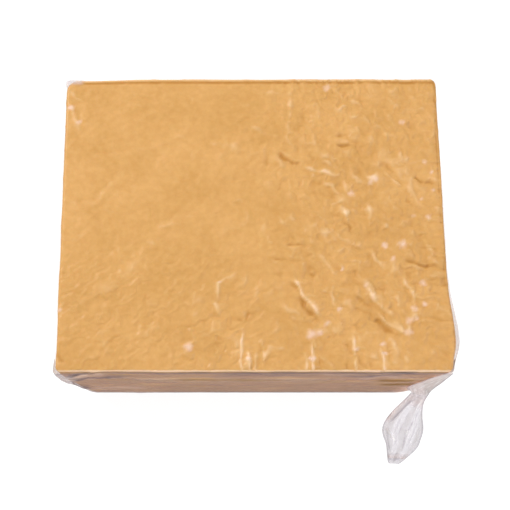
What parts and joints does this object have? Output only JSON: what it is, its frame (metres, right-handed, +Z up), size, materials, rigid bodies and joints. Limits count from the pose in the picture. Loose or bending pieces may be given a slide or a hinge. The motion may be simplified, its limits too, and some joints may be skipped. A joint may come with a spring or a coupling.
{
  "type": "cheddar block",
  "caption": "Rectangular wholesale block of orange cheddar shrunk into a clear wrinkled vacuum bag, with the bag's empty end lying loose at one corner.",
  "frame": {"origin": "centre of the flat base that the block rests on", "axes": "+X along the block's length, -Y out of its front side, towards the loose end of the bag, +Z up out of its top"},
  "size_m": [0.3684, 0.3587, 0.1806],
  "materials": {
    "cheddar": "orange cheese under tight clear film, satin gloss",
    "film": "thin clear plastic film, creased, glossy"
  },
  "bodies": {
    "root": {"cheddar_block": "cheddar", "film_bag_end": "film"}
  },
  "joints": []
}
